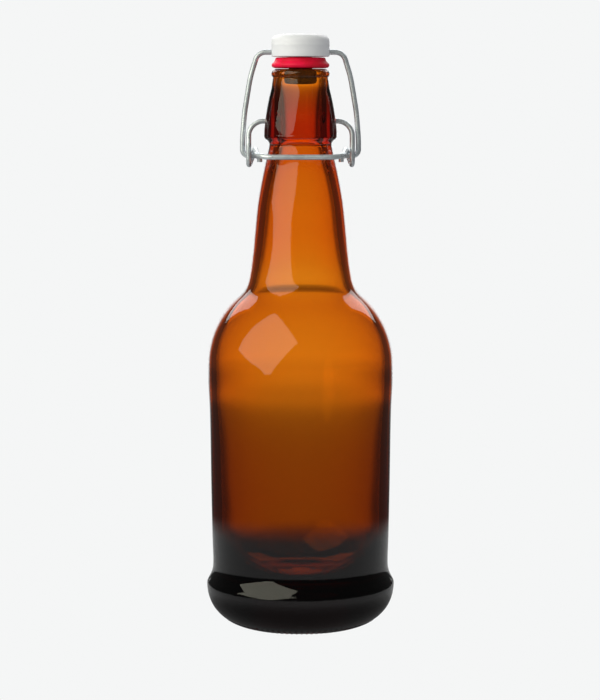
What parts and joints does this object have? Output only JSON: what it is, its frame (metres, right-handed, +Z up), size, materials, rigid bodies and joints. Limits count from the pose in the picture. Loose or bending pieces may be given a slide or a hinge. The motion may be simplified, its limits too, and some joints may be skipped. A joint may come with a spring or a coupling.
{
  "type": "swing-top bottle",
  "caption": "Long-necked amber glass bottle with a thick heel bead and a wire swing-top closure: a domed stopper with a rubber gasket on a bail, held down by a lever wire.",
  "frame": {"origin": "centre of the base plane, on the bottle's axis", "axes": "+Z up along the bottle, -Y towards the side where the closed lever's crossbar lies, X along the closure's pivots"},
  "size_m": [0.0792, 0.0792, 0.2487],
  "materials": {
    "amber_glass": "clear amber container glass, fire polished, with faint mould seams",
    "wire_steel": "bright drawn and zinc-coated steel wire, lightly scuffed along its length",
    "white_plastic": "satin white moulded plastic",
    "red_rubber": "smooth red rubber"
  },
  "bodies": {
    "bottle": {"bottle": "amber_glass"},
    "lever": {"lever_wire": "wire_steel"},
    "bail": {"bail_wire": "wire_steel"},
    "stopper": {"stopper": "white_plastic", "gasket": "red_rubber"}
  },
  "joints": [
    {"name": "lever_turn", "type": "hinge", "parent": "bottle", "child": "lever", "pos_m": [0, 0, 0.2125], "axis": [-1, 0, 0], "range_deg": [0, 94]},
    {"name": "bail_swing", "type": "hinge", "parent": "lever", "child": "bail", "pos_m": [0, 0.0007, 0.198], "axis": [-1, 0, 0], "range_deg": [-72, 0]},
    {"name": "stopper_tilt", "type": "hinge", "parent": "bail", "child": "stopper", "pos_m": [0, 0, 0.2409], "axis": [-1, 0, 0], "range_deg": [-22, 0]}
  ],
  "couplings": [
    {"joint": "bail_swing", "follows": "lever_turn", "ratio": -0.69},
    {"joint": "stopper_tilt", "follows": "lever_turn", "ratio": -0.2}
  ]
}
